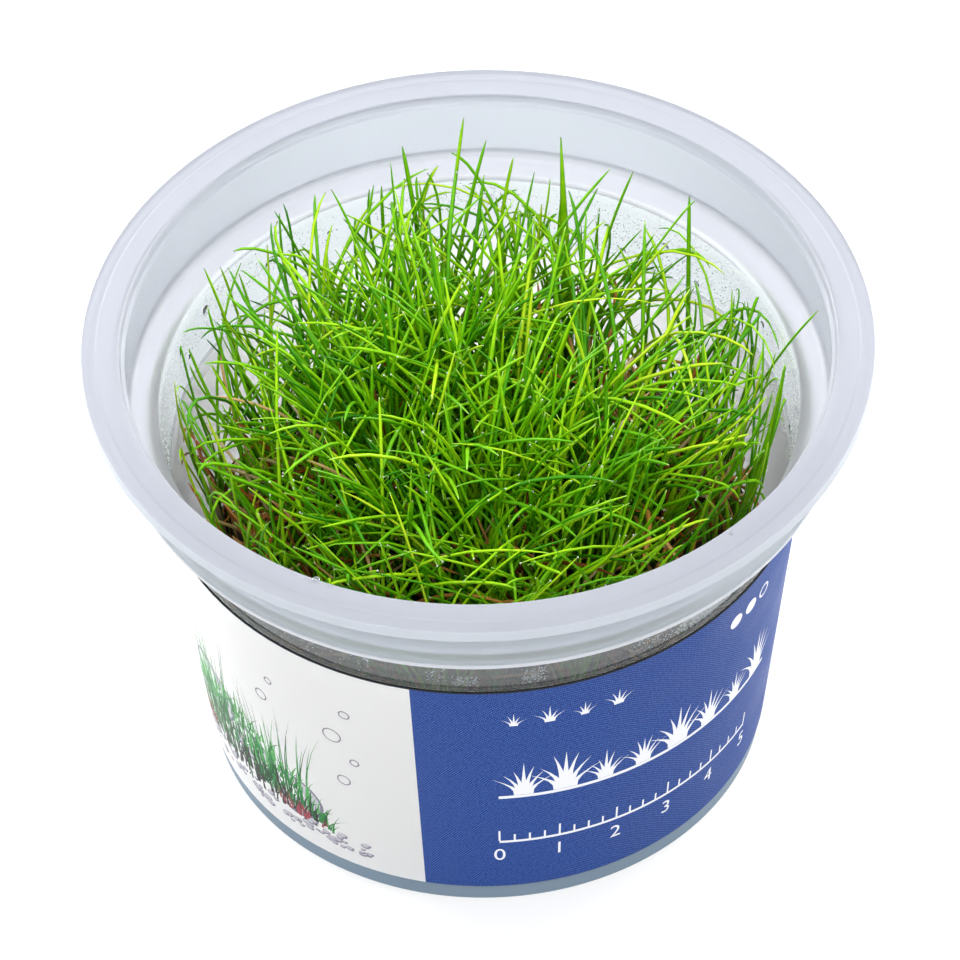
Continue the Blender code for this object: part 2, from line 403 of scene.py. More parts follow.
# The cup's profile from the middle of its floor up the inside, over the rim and down the outside
CUP_CORNERS = (
    (0.0, FLOOR_TOP, 0.0),
    (inner_radius(FLOOR_TOP) - 1.6, FLOOR_TOP, 1.5),
    (inner_radius(3.6), 3.6, 1.5),
    *((inner_radius(height), height, 0.0) for height in INNER_STEPS),
    (inner_radius(SHOULDER_HEIGHT), SHOULDER_HEIGHT, 0.5),
    (43.7, 55.25, 1.2),
    (44.4, 56.3, 1.2),
    (44.5, 63.7, 0.15),
    (44.95, 63.95, 0.15),
    (45.2, 65.2, 0.3),
    (48.0, 65.2, 0.1),
    (48.25, 65.1, 0.1),
    (50.0, 65.1, 0.2),
    (50.0, 63.4, 0.25),
    (49.0, 63.4, 0.2),
    (48.9, 64.1, 0.2),
    (45.9, 64.1, 0.4),
    (45.8, 55.3, 0.2),
    (46.0, 54.9, 0.15),
    (45.9, 54.0, 0.3),
    (42.3, 53.7, 0.5),
    (body_radius(52.9), 52.9, 0.5),
    *((body_radius(height), height, 0.0) for height in WALL_STEPS),
    (35.85, 0.0, 0.15),
    (32.0, 0.0, 0.3),
    (31.5, 0.8, 0.3),
    (0.0, 0.8, 0.0),
)

# Plastics of the cup's outside and inside from the rim down: name, how see-through a frosted one is (None
# for the clear one), its two cloudy tones and the height where it ends
OUTER_ZONES = (
    ("frosted_rim", 0.62, (0.488, 0.505, 0.57), (0.523, 0.54, 0.605), 65.05),
    ("frosted_edge", 0.45, (0.58, 0.615, 0.67), (0.62, 0.655, 0.71), 63.3),
    ("frosted_collar", 0.78, (0.60, 0.66, 0.72), (0.67, 0.73, 0.79), 54.8),
    ("frosted_ledge", 0.45, (0.63, 0.65, 0.70), (0.68, 0.70, 0.75), 53.4),
    ("clear", None, (0.51, 0.565, 0.60), (0.56, 0.615, 0.65), 44.4),
    ("film_backed_wall", 0.92, (0.95, 0.965, 0.98), (0.97, 0.98, 0.99), 2.9),
    # The foot's dark blue-grey tones are painted shade low on the cup
    ("frosted_foot", 0.3, (0.13, 0.195, 0.265), (0.16, 0.235, 0.31), 0.0),
)
INNER_ZONES = (
    ("inner_rim", 0.62, (0.488, 0.505, 0.57), (0.523, 0.54, 0.605), 65.05),
    ("inner_collar", 0.78, (0.675, 0.68, 0.765), (0.72, 0.725, 0.81), 55.9),
    # The ledge faces up and is painted lighter than the collar above it: painted light
    ("inner_ledge", 0.78, (0.77, 0.775, 0.84), (0.80, 0.805, 0.87), 54.6),
    ("inner_clear", None, (0.61, 0.635, 0.66), (0.67, 0.695, 0.72), 43.2),
    ("inner_milky_wall", 0.9, (0.95, 0.965, 0.98), (0.97, 0.98, 0.99), 0.0),
)

# A radius between the collar's two faces, and a height between the floor's
COLLAR_MIDDLE = 45.3
FLOOR_MIDDLE = 1.5


def on_inside(radius, height):
    middle = COLLAR_MIDDLE if height > SHOULDER_HEIGHT else body_radius(height) - WALL / 2
    return radius < middle and height > FLOOR_MIDDLE


def build_cup():
    vertices, faces = turned(rounded(CUP_CORNERS), CUP_STEPS)
    plastics = []
    for name, see_through, low, high, _ in (*OUTER_ZONES, *INNER_ZONES):
        if see_through is None:
            plastics.append(clear_plastic(name, low, high))
        else:
            plastics.append(frosted_plastic(name, see_through, low, high))
    piece = make_piece("culture_cup", vertices, faces, plastics, ["cup"])
    for polygon in piece.data.polygons:
        x, y, height = polygon.center / MM
        if on_inside(math.hypot(x, y), height):
            index = len(OUTER_ZONES) + sum(height < zone[4] for zone in INNER_ZONES[:-1])
        else:
            index = sum(height < zone[4] for zone in OUTER_ZONES[:-1])
        polygon.material_index = index


GEL_STEPS = 96
GEL_DIP = 0.2
GEL_CORNERS = (
    (0.0, GEL_TOP - GEL_DIP, 0.0),
    (inner_radius(GEL_TOP) - 2.0, GEL_TOP - GEL_DIP, 1.0),
    (inner_radius(GEL_TOP) - 0.4, GEL_TOP, 0.4),
    (inner_radius(4.2) - 0.4, 4.2, 1.0),
    (inner_radius(GEL_BOTTOM) - 1.9, GEL_BOTTOM, 1.0),
    (0.0, GEL_BOTTOM, 0.0),
)


def build_gel():
    vertices, faces = turned(rounded(GEL_CORNERS), GEL_STEPS)
    make_piece("gel_disc", vertices, faces, (gel_material(),), ["nutrient_gel"])


# Label

# A place on the label is how far it lies round from the front, to the right, and its height
LABEL_BOTTOM = 2.9
LABEL_TOP = 44.6
# Height of the dark band of painted shade along the label's top edge
EDGE_SHADE = 0.22
LABEL_ROWS = (LABEL_BOTTOM, LABEL_BOTTOM + 0.2, 13.0, 23.0, 34.0, LABEL_TOP - EDGE_SHADE)
LABEL_THICK = 0.25
LABEL_SEAM = 1.2
LABEL_RADIUS = body_radius((LABEL_BOTTOM + LABEL_TOP) / 2) + GAP + LABEL_THICK
LABEL_END = math.pi * LABEL_RADIUS - LABEL_SEAM / 2
COLUMN = 2.0
BLUE_PANEL = (-9.3, 76.0)
# How far round from the front the painted shade along the top edge reaches
EDGE_SHADE_END = 52.0

# Name and colour, then the colour it drifts to and how strongly threads show in it, where it isn't plain
INKS = (
    # A dark band of painted shade along the label's top edge, not a printed ink
    ("painted_edge_shade", (0.02, 0.024, 0.03)),
    ("white_film", (0.905, 0.94, 1.0)),
    ("blue", (0.003, 0.016, 0.125), (0.006, 0.023, 0.15), 0.85),
    ("white", (0.66, 0.67, 0.70)),
    ("deep_green", (0.004, 0.055, 0.014), (0.008, 0.075, 0.02)),
    ("mid_green", (0.010, 0.13, 0.03), (0.016, 0.17, 0.04)),
    ("light_green", (0.05, 0.26, 0.06), (0.09, 0.32, 0.10)),
    ("dark_accent", (0.008, 0.014, 0.010), (0.03, 0.02, 0.025)),
    ("stone_line", (0.13, 0.12, 0.17), (0.20, 0.19, 0.24)),
    ("stone_tint", (0.36, 0.355, 0.40), (0.45, 0.45, 0.49)),
    ("red_leaf", (0.20, 0.02, 0.035), (0.30, 0.07, 0.08)),
    ("film_back", (0.96, 0.972, 0.995)),
)
INK_INDEX = {ink[0]: index for index, ink in enumerate(INKS)}


def box_shape(left, low, right, high):
    return [(left, low), (right, low), (right, high), (left, high)]


def round_shape(u, v, wide, tall, sides=20, lumps=0.0):
    """An ellipse, or with lumps a pebble's uneven outline."""
    points = []
    for side in range(sides):
        angle = 2 * math.pi * side / sides
        swell = 1.0 + lumps * noise.noise(Vector((math.cos(angle), math.sin(angle), u)))
        points.append((u + wide * swell * math.cos(angle), v + tall * swell * math.sin(angle)))
    return points


def blade_shape(u, v, height, lean, width):
    """A drawn blade of grass: a thin curved sliver."""
    left, right = [], []
    for step in range(4):
        share = step / 4
        middle = u + lean * share ** 2
        half = width * (1 - share) / 2
        left.append((middle - half, v + height * share))
        right.append((middle + half, v + height * share))
    return right + [(u + lean, v + height)] + left[::-1]


def figure_shapes(figure, u, v, size):
    """The outline faces of a plain numeral, centred on u."""
    curve = bpy.data.curves.new("figure", "FONT")
    curve.body = figure
    curve.size = size
    curve.align_x = "CENTER"
    holder = bpy.data.objects.new("figure", curve)
    mesh = holder.to_mesh()
    corners = [(corner.co.x + u, corner.co.y + v) for corner in mesh.vertices]
    shapes = [[corners[i] for i in face.vertices] for face in mesh.polygons if face.area > 1e-4]
    holder.to_mesh_clear()
    bpy.data.objects.remove(holder)
    return shapes


def tuft_shapes(chance, u, v, height, blades):
    """A drawn tuft: blades that fan out from one spot."""
    shapes = []
    for blade in range(blades):
        fan = 2 * blade / (blades - 1) - 1
        tall = height * (1.0 - 0.45 * abs(fan)) * chance.uniform(0.88, 1.08)
        shapes.append(blade_shape(u + 0.12 * height * fan, v, tall, 0.5 * height * fan, 0.15 * height))
    return shapes


DOTS = (34.5, 37.6)
OPEN_DOT = 40.7
DOT_HEIGHT = 39.7
DOT_RADIUS = 1.15
OPEN_DOT_HOLE = 0.85
GROUND_LINE = (1.0, 22.0, 44.5, 22.55)
RULER_LEFT = 1.0
RULER_STEP = 2.0
RULER_TICKS = 21
RULER_BOTTOM = 12.4
RULER_TOP = 12.85
TICKS_PER_NUMBER = 4


def dot_shape(u, radius):
    return round_shape(u, DOT_HEIGHT, radius, radius)


def blue_panel_marks(chance):
    """Plain marks: small tufts, dots, a row of large tufts and a ruler with numbers."""
    marks = []
    for spot in range(4):
        marks += tuft_shapes(chance, 3.0 + 4.4 * spot, 37.4, 2.6 + 0.7 * (spot % 2), 5)
    marks += [dot_shape(u, DOT_RADIUS) for u in DOTS]
    for spot in range(8):
        marks += tuft_shapes(chance, 4.2 + 5.4 * spot, 22.6, 6.4 + 1.7 * math.sin(1.9 * spot), 7)
    marks.append(box_shape(*GROUND_LINE))
    ruler_right = RULER_LEFT + RULER_STEP * (RULER_TICKS - 1) + 0.12
    marks.append(box_shape(RULER_LEFT, RULER_BOTTOM, ruler_right, RULER_TOP))
    for tick in range(RULER_TICKS):
        u = RULER_LEFT + RULER_STEP * tick
        numbered = tick % TICKS_PER_NUMBER == 0
        marks.append(box_shape(u - 0.13, RULER_TOP, u + 0.13, 15.0 if numbered else 14.1))
        if numbered:
            marks += figure_shapes(str(tick // TICKS_PER_NUMBER), u, 8.7, 3.4)
    return marks


# The picture on the white panels. Stones: place, half width and half height. Banks of short grass: middle,
# half width, height and blades. Tall blades: middle, spread, count and height. Red spots: middle, spread
# and count. Gravel: from, to and count. Bubbles: place and radius.
STONES = (
    (-28.5, 12.0, 4.6, 3.8),
    (-45.0, 19.5, 6.0, 5.2),
    (-36.0, 15.5, 4.0, 3.2),
    (-86.0, 15.0, 6.0, 4.6),
    (104.0, 15.0, 6.0, 4.6),
)
BANKS = (
    (-41.0, 19.0, 14.0, 560),
    (-60.0, 14.0, 6.0, 120),
    (-84.0, 20.0, 9.0, 130),
    (-105.0, 12.0, 6.0, 60),
    (98.0, 18.0, 9.0, 130),
)
TALL_BLADES = ((-33.0, 3.5, 34, 21.0), (-47.5, 4.5, 46, 25.0), (-82.0, 5.0, 34, 20.0), (98.0, 5.0, 34, 20.0))
RED_SPOTS = ((-52.0, 3.0, 46), (-28.0, 2.0, 26), (-88.0, 3.0, 26))
GRAVEL = ((-62.0, -17.0, 110), (-104.0, -66.0, 40), (84.0, 118.0, 40))
BUBBLES = (
    (-19.5, 21.0, 1.0), (-17.6, 25.6, 0.7), (-20.4, 30.0, 1.35), (-18.2, 35.4, 0.8), (-31.5, 30.5, 1.0),
    (-29.6, 34.8, 0.65), (-55.5, 33.0, 1.0), (-57.5, 38.0, 0.7), (-76.0, 30.0, 1.2), (107.0, 29.0, 1.0),
    (104.5, 34.5, 1.3),
)
BANK_FOOT = 7.5
TALL_BLADE_FOOT = 10.0
GREENS = ("dark_accent", "deep_green", "mid_green", "light_green")


def bank_top(u, middle, half_width, height):
    """Height of a bank's ridge above the gravel."""
    return height * max(1.0 - ((u - middle) / half_width) ** 2, 0.0)


def bank_shapes(chance, middle, half_width, height, count):
    """Short blades all over a bank, dark at its foot and light along its ridge."""
    blades = []
    for _ in range(count):
        u = middle + half_width * (2 * chance.beta(1.5, 1.5) - 1)
        share = chance.random()
        v = BANK_FOOT + share * bank_top(u, middle, half_width, height)
        lean = 0.06 * (u - middle) + chance.normal(0, 0.9)
        tone = np.clip(4 * share + chance.normal(0, 0.9), 0, 3)
        tall = chance.uniform(1.8, 4.6)
        blade = blade_shape(u, v, tall, lean, chance.uniform(0.34, 0.64))
        blades.append((share, (blade, GREENS[int(tone)])))
    return [blade for _, blade in sorted(blades, key=lambda entry: -entry[0])]


def stone_shapes(u, v, wide, tall):
    """A stone with an outline, a light side and hatching at its foot."""
    yield round_shape(u, v, wide, tall, 32, 0.2), "stone_line"
    yield round_shape(u - 0.1, v + 0.1, wide - 0.4, tall - 0.35, 32, 0.2), "stone_tint"
    yield round_shape(u - 0.2 * wide, v + 0.28 * tall, 0.62 * wide, 0.5 * tall, 24, 0.3), "white_film"
    for line in range(6):
        left = u + wide * (0.1 * line - 0.5)
        yield blade_shape(left, v - 0.45 * tall, 0.5 * tall, 0.5 * wide, 0.22), "stone_line"


def tall_blade_shapes(chance, middle, spread, count, height):
    for _ in range(count):
        u = chance.normal(middle, spread)
        lean = 0.35 * (u - middle) + chance.normal(0, 1.6)
        tone = GREENS[chance.integers(1, 4)]
        tall = height * chance.uniform(0.55, 1.0)
        yield blade_shape(u, TALL_BLADE_FOOT, tall, lean, chance.uniform(0.3, 0.5)), tone


def red_leaf_shapes(chance, middle, spread, count):
    for _ in range(count):
        u = chance.normal(middle, spread)
        v = 7.6 + chance.uniform(0, 2.4)
        tall = chance.uniform(1.2, 2.6)
        yield blade_shape(u, v, tall, chance.normal(0, 0.6), 0.45), "red_leaf"


def gravel_shapes(chance, left, right, count):
    for _ in range(count):
        u, v, wide = chance.uniform(left, right), chance.uniform(5.4, 8.2), chance.uniform(0.35, 0.9)
        yield round_shape(u, v, wide, 0.65 * wide, 12, 0.3), "stone_line"
        yield round_shape(u - 0.1, v + 0.1, 0.75 * wide, 0.45 * wide, 12, 0.3), "stone_tint"


def drawn_plants(chance):
    shapes = []
    for stone in STONES:
        shapes += stone_shapes(*stone)
    for group in TALL_BLADES:
        shapes += tall_blade_shapes(chance, *group)
    for bank in BANKS:
        shapes += bank_shapes(chance, *bank)
    for spot in RED_SPOTS:
        shapes += red_leaf_shapes(chance, *spot)
    for stretch in GRAVEL:
        shapes += gravel_shapes(chance, *stretch)
    for u, v, radius in BUBBLES:
        shapes.append((round_shape(u, v, radius, radius), "stone_line"))
        shapes.append((round_shape(u, v, radius - 0.2, radius - 0.2), "white_film"))
    return shapes


def label_columns():
    """Where the label's columns of faces meet, from its left end to its right end."""
    whole_steps = range(math.ceil(-LABEL_END / COLUMN), math.ceil(LABEL_END / COLUMN))
    return sorted({-LABEL_END, LABEL_END, *BLUE_PANEL, *(COLUMN * step for step in whole_steps)})


def top_edge_shade_or_film(left, right):
    """What the label's top edge shows: a dark band of painted shade round the front and the white film
    elsewhere.
    """
    return "painted_edge_shade" if abs(left + right) / 2 < EDGE_SHADE_END else "white_film"


def label_shapes():
    """Outlines on the unrolled label with their inks. A later one covers an earlier one."""
    columns = label_columns()
    shapes = []
    for left, right in zip(columns, columns[1:]):
        blue = BLUE_PANEL[0] <= (left + right) / 2 <= BLUE_PANEL[1]
        for low, high in zip(LABEL_ROWS, LABEL_ROWS[1:]):
            shapes.append((box_shape(left, low, right, high), "blue" if blue else "white_film"))
        # The top row is painted shade round the front and white film elsewhere
        shapes.append((box_shape(left, LABEL_ROWS[-1], right, LABEL_TOP), top_edge_shade_or_film(left, right)))
    chance = np.random.default_rng(SEED + 2)
    shapes += drawn_plants(chance)
    shapes += [(mark, "white") for mark in blue_panel_marks(chance)]
    shapes.append((dot_shape(OPEN_DOT, DOT_RADIUS), "white"))
    shapes.append((dot_shape(OPEN_DOT, OPEN_DOT_HOLE), "blue"))
    return shapes


def turns_left(outline):
    """Whether a flat outline runs counter-clockwise."""
    return sum(a[0] * b[1] - b[0] * a[1] for a, b in zip(outline, outline[1:] + outline[:1])) > 0


def on_label(u, v, lift):
    """A point of the rolled label, lift millimetres out from its back."""
    radius = body_radius(v) + GAP + lift
    angle = u / LABEL_RADIUS
    return (radius * math.sin(angle), -radius * math.cos(angle), v)


def build_label():
    """The printed front, the plain back and the rim between them."""
    shapes = label_shapes()
    corners, outlines = [], []
    for outline, _ in shapes:
        outlines.append(list(range(len(corners), len(corners) + len(outline))))
        corners += [Vector(point) for point in (outline if turns_left(outline) else outline[::-1])]
    flat, _, faces, _, _, origins = geometry.delaunay_2d_cdt(corners, [], outlines, 1, 1e-5)
    inks = [INK_INDEX[shapes[max(origin)][1]] for origin in origins]
    vertices = [on_label(*point, LABEL_THICK) for point in flat]
    front = {(round(point.x, 3), round(point.y, 3)): index for index, point in enumerate(flat)}

    columns, rows = label_columns(), (*LABEL_ROWS, LABEL_TOP)
    grid = [(u, v) for u in columns for v in rows]
    back = {spot: len(flat) + index for index, spot in enumerate(grid)}
    vertices += [on_label(*spot, 0.0) for spot in grid]
    for left, right in zip(columns, columns[1:]):
        for low, high in zip(rows, rows[1:]):
            faces.append(tuple(back[spot] for spot in box_shape(left, low, right, high)[::-1]))
    inks += [INK_INDEX["film_back"]] * (len(faces) - len(inks))
    border = [(u, rows[0]) for u in columns] + [(columns[-1], v) for v in rows[1:]]
    border += [(u, rows[-1]) for u in columns[-2::-1]] + [(columns[0], v) for v in rows[-2::-1]]
    for here, there in zip(border, border[1:]):
        near, far = (front[round(spot[0], 3), round(spot[1], 3)] for spot in (here, there))
        faces.append((near, back[here], back[there], far))
        # The top rim faces carry the same painted shade round the front
        on_top = here[1] == LABEL_TOP and there[1] == LABEL_TOP
        inks.append(INK_INDEX[top_edge_shade_or_film(here[0], there[0]) if on_top else "film_back"])

    materials = [print_material(*ink) for ink in INKS]
    piece = make_piece("printed_label", vertices, faces, materials, ["label"])
    piece.data.polygons.foreach_set("material_index", inks)
    sheet = piece.data.uv_layers.new(name="print")
    spots = [tuple(point) for point in flat] + grid
    for loop in piece.data.loops:
        sheet.uv[loop.index].vector = Vector(spots[loop.vertex_index]) * MM


# Leaves

class Strands:
    """Gathers leaves or roots into one mesh with an attribute for each trait."""

    def __init__(self, sides):
        self.sides = sides
        self.points = []
        self.faces = []
        self.paths = []
        self.traits = {trait: [] for trait in TRAITS}
        self.count = 0

    def add(self, path, width, flatness, across, tint, dry=0.0, olive=0.0):
        """path is rings of points, width the half width at each, and across a rough sideways direction."""
        rings, sides = len(path), self.sides
        self.paths.append((path, width))
        along = np.gradient(path, axis=0)
        along /= np.linalg.norm(along, axis=1, keepdims=True)
        side = across - along * (along @ across)[:, None]
        side /= np.linalg.norm(side, axis=1, keepdims=True)
        face = np.cross(side, along)
        angle = 2 * math.pi * np.arange(sides) / sides
        sideways, outwards = np.cos(angle)[None, :, None], np.sin(angle)[None, :, None]
        ring = side[:, None] * sideways + face[:, None] * outwards * flatness
        self.points.append((path[:, None] + ring * width[:, None, None]).reshape(-1, 3))
        step, turn = np.meshgrid(np.arange(rings - 1), np.arange(sides), indexing="ij")
        low = self.count + step * sides + turn
        low_next = self.count + step * sides + (turn + 1) % sides
        quads = np.stack([low, low_next, low_next + sides, low + sides], axis=-1).reshape(-1, 4)
        self.faces.extend(quads.tolist())
        self.faces.append([self.count + turn for turn in reversed(range(sides))])
        self.faces.append([self.count + (rings - 1) * sides + turn for turn in range(sides)])
        self.traits["along"].append(np.repeat(np.linspace(0.0, 1.0, rings), sides))
        self.traits["ridge"].append(np.tile(np.abs(np.sin(angle)), rings))
        for trait, value in (("tint", tint), ("dry", dry), ("olive", olive)):
            self.traits[trait].append(np.full(rings * sides, value))
        self.count += rings * sides

    def build(self, name, finish, nodes):
        piece = make_piece(name, np.concatenate(self.points), self.faces, (finish,), nodes)
        for trait, values in self.traits.items():
            layer = piece.data.attributes.new(trait, "FLOAT", "POINT")
            layer.data.foreach_set("value", np.concatenate(values).astype(np.float32))


# A plantlet is a crown of shoots, and a shoot some leaves that rise together for their first part
TUFTS = 52
FIELD_RADIUS = 33.6
CROWN_HEIGHT = 0.6
CROWN_SPREAD = 2.6
SHOOTS = 11
SHOOT_LEAVES = (3, 8)
SHOOT_SPREAD = 0.3
SHOOT_LEAN = 22
THIN_FROM = 24.0
SHEATH = 0.36

# Leaves: where their rings lie, and their sizes from least to most
LEAF_SHARES = np.array((0.0, 0.09, 0.18, 0.28, 0.38, 0.48, 0.58, 0.68, 0.78, 0.87, 0.94, 0.985, 1.0))
LEAF_SIDES = 6
LEAF_LENGTHS = (7.0, 52.0)
NEEDLE_HALF_WIDTHS = (0.25, 0.38)
BROAD_HALF_WIDTHS = (0.42, 0.72)
BROAD_SHARE = 0.065
NEEDLE_FLATNESS = 0.8
BROAD_FLATNESS = 0.42

# How far leaves turn from the way their shoot faces, in degrees, in the middle of the field and at its edge
FANS = (64, 112)

# The share of short shoots, and how tall leaves grow there and elsewhere, as shares of the canopy
SHORT_SHARE = 0.34
SHORT_VIGOUR = (0.4, 0.86)
FULL_VIGOUR = (0.88, 1.05)

# The share of dry leaves in fresh growth, what old growth adds to it, and how tall dry leaves stand
DRY_SHARE = 0.035
OLD_DRY_SHARE = 0.52
DRY_HEIGHT = 0.68

# The canopy that most tips reach: a dome that falls off all round and more at the back
CANOPY_TOP = 65.5
CANOPY_FALL = 9.0
BACK_FALL = 10.0
OLD_FALL = 4.0
CANOPY_SCATTER = 2.7
CANOPY_LUMPS = 3.0
CANOPY_LIMIT = 67.6
CANOPY_RADIUS = 41.8

# How near the axis tips stay, and the share of the way to the wall where a leaf begins to bend along it
TIP_LIMIT = 38.9
WALL_EASE = 0.8

# How strongly shoots lean outwards and along the swirls
OUTWARD = 0.85
SWIRL = 0.35

# How a leaf bends over its length: the share of leaves up to here in the middle of the cup and at its
# wall, and the least and most bend in degrees
BENDS = ((0.7, 0.42, 5, 38), (0.92, 0.76, 38, 76), (1.0, 1.0, 76, 118))

# Where old growth shows between thinner leaves: x, y and radius
OLD_PATCHES = (
    (22.5, 3.0, 10.0),
    (-23.0, -3.0, 9.0),
    (-13.0, -20.0, 7.0),
    (19.0, 11.0, 8.0),
    (22.0, -18.0, 7.0),
    (6.0, -27.0, 6.0),
)

# Leaves that stand out of the canopy: x, y and height of the tip, and half width
LONG_LEAVES = (
    (43.0, 2.5, 66.5, 0.34),
    (-1.0, 36.4, 69.35, 0.33),
    (1.8, 35.6, 66.0, 0.38),
    (11.4, 34.6, 67.2, 0.8),
    (-34.6, 17.2, 62.6, 0.33),
    (27.6, 26.6, 63.8, 0.33),
    (20.6, 32.6, 62.6, 0.33),
    (-25.6, 28.6, 61.2, 0.33),
    (-9.0, 36.2, 64.8, 0.4),
)


def tuft_places():
    """The plantlets' crowns, on the frame's golden-angle spiral."""
    golden = math.pi * (3 - math.sqrt(5))
    for index in range(TUFTS):
        radius = FIELD_RADIUS * math.sqrt((index + 0.5) / TUFTS)
        x, y = radius * math.cos(index * golden), radius * math.sin(index * golden)
        yield np.array((x, y, mat_height(x, y) + CROWN_HEIGHT))


def oldness(x, y):
    """From 0 in fresh growth to 1 in the middle of an old patch."""
    return max(math.exp(-((x - px) ** 2 + (y - py) ** 2) / radius ** 2) for px, py, radius in OLD_PATCHES)


def fullness(x, y):
    """How densely plantlets grow here: thinner towards the wall and the back."""
    reach = min(math.hypot(x, y) / FIELD_RADIUS, 1.0)
    back = 0.5 + 0.5 * y / FIELD_RADIUS
    side = abs(x) / FIELD_RADIUS
    return (1.0 - (0.22 + 0.22 * back + 0.2 * side) * reach ** 1.2) * (1.0 - 0.45 * oldness(x, y))


def canopy_height(x, y):
    """The height that most tips reach here, with soft lumps."""
    fall = CANOPY_FALL * math.hypot(x, y) ** 2 + BACK_FALL * max(y, 0.0) ** 2
    dome = CANOPY_TOP - fall / CANOPY_RADIUS ** 2
    return dome + CANOPY_LUMPS * ground_noise(x, y, 0.07, 8.1) - OLD_FALL * oldness(x, y)


def held_by_wall(path):
    """The path with its far points drawn in, so that it slides along the wall."""
    radius = np.hypot(path[:, 0], path[:, 1])
    limit = np.minimum(inner_radius(path[:, 2]) - 1.0, TIP_LIMIT)
    share = radius / limit
    room = 1.0 - WALL_EASE
    eased = np.where(share > WALL_EASE, WALL_EASE + room * (1 - np.exp(-(share - WALL_EASE) / room)), share)
    path[:, :2] *= (eased / np.maximum(share, 1e-6))[:, None]
    return path


def pointing(lean, heading):
    """Unit vectors that lean from the vertical towards a heading."""
    return np.stack([np.sin(lean) * np.cos(heading), np.sin(lean) * np.sin(heading), np.cos(lean)], axis=-1)


def leaf_path(root, shoot, heading, tilt, bend, drift, top):
    """A leaf that rises with its shoot, then leaves it and bends over. Its highest point is at top."""
    own = pointing(tilt + bend * LEAF_SHARES ** 1.6, heading + drift * LEAF_SHARES)
    part = np.clip(LEAF_SHARES / SHEATH, 0.0, 1.0)
    part = (part * part * (3 - 2 * part))[:, None]
    step = shoot * (1 - part) + own * part
    step /= np.linalg.norm(step, axis=1, keepdims=True)
    path = np.vstack([np.zeros(3), np.cumsum(step[:-1] * np.diff(LEAF_SHARES)[:, None], axis=0)])
    length = np.clip((top - root[2]) / path[:, 2].max(), *LEAF_LENGTHS)
    return held_by_wall(root + path * length)


def needle_width(half_width):
    """Half widths along a needle: even for most of its length, with a short blunt point."""
    foot = 0.8 + 0.2 * np.minimum(LEAF_SHARES / 0.12, 1.0)
    slim = 1.0 - 0.25 * np.clip((LEAF_SHARES - 0.3) / 0.6, 0.0, 1.0)
    point = 1.0 - 0.75 * np.clip((LEAF_SHARES - 0.9) / 0.1, 0.0, 1.0) ** 2
    return half_width * foot * slim * point


def broad_width(half_width):
    """Half widths along a broad leaf: widest low down, then one long taper."""
    foot = 0.7 + 0.3 * np.minimum(LEAF_SHARES / 0.2, 1.0)
    point = 1.0 - 0.9 * np.clip((LEAF_SHARES - 0.3) / 0.7, 0.0, 1.0) ** 1.3
    return half_width * foot * point


def pulled_heading(chance, pull):
    """A random compass direction, drawn towards the pull."""
    swing = chance.uniform(0, 2 * math.pi)
    return math.atan2(math.sin(swing) + pull[1], math.cos(swing) + pull[0])


def leaf_bend(chance, reach):
    """How far a leaf bends over its length, in radians."""
    kind = chance.random()
    least, most = next(bend[2:] for bend in BENDS if kind <= bend[0] + (bend[1] - bend[0]) * reach ** 2)
    return math.radians(chance.uniform(least, most))


def add_leaf(strands, chance, root, shoot, facing, vigour):
    """One leaf of a shoot that faces a compass direction. vigour sets how tall the leaf is."""
    x, y, foot = root
    reach = min(math.hypot(x, y) / FIELD_RADIUS, 1.0)
    fan = FANS[0] + (FANS[1] - FANS[0]) * reach ** 2
    heading = facing + math.radians(chance.normal(0.0, fan))
    bend = leaf_bend(chance, reach)
    dry = float(chance.random() < DRY_SHARE + OLD_DRY_SHARE * oldness(x, y))
    top = canopy_height(x, y) + chance.normal(0.0, CANOPY_SCATTER)
    top = min(foot + (top - foot) * vigour * (DRY_HEIGHT if dry else 1.0), CANOPY_LIMIT)
    tilt = math.radians(chance.uniform(4, 20 + 14 * reach))
    path = leaf_path(root, shoot, heading, tilt, bend, chance.normal(0.0, 0.3 + 0.4 * reach ** 2), top)
    broad = chance.random() < BROAD_SHARE
    half_width = chance.uniform(*(BROAD_HALF_WIDTHS if broad else NEEDLE_HALF_WIDTHS))
    half_width *= 1 - 0.34 * reach ** 3
    width = broad_width(half_width) if broad else needle_width(half_width)
    across = np.array((-math.sin(heading), math.cos(heading), 0.0))
    # Painted shade: dark tips, seen against the bright back, grow more common towards the back
    olive = float(chance.random() < 0.35 + 0.5 * y / FIELD_RADIUS)
    # Painted shade: short leaves, low under the others, take a darker tint. Leaves near the wall get a
    # slightly lighter one.
    usual_tint = 0.59 if vigour > SHORT_VIGOUR[1] else 0.4
    tint = np.clip(chance.normal(usual_tint, 0.18) + 0.06 * reach ** 3, 0.05, 0.97)
    if dry:
        tint = chance.uniform(0.1, 1.0)
    strands.add(path, width, BROAD_FLATNESS if broad else NEEDLE_FLATNESS, across, tint, dry, olive)


def add_shoot(strands, chance, place, pull):
    """Leaves that rise together from one spot of a crown and then fan out."""
    root = place + np.array((*chance.normal(0.0, CROWN_SPREAD / 2, 2), 0.0))
    facing = pulled_heading(chance, pull)
    shoot = pointing(math.radians(chance.uniform(0, SHOOT_LEAN)), facing)
    low = chance.random() < SHORT_SHARE
    fewest, most = SHOOT_LEAVES
    if math.hypot(*place[:2]) >= THIN_FROM:
        most -= 2
    for _ in range(chance.integers(fewest, most)):
        vigour = chance.uniform(*(SHORT_VIGOUR if low else FULL_VIGOUR))
        spot = root + np.array((*chance.normal(0.0, SHOOT_SPREAD, 2), 0.0))
        add_leaf(strands, chance, spot, shoot, facing, vigour)


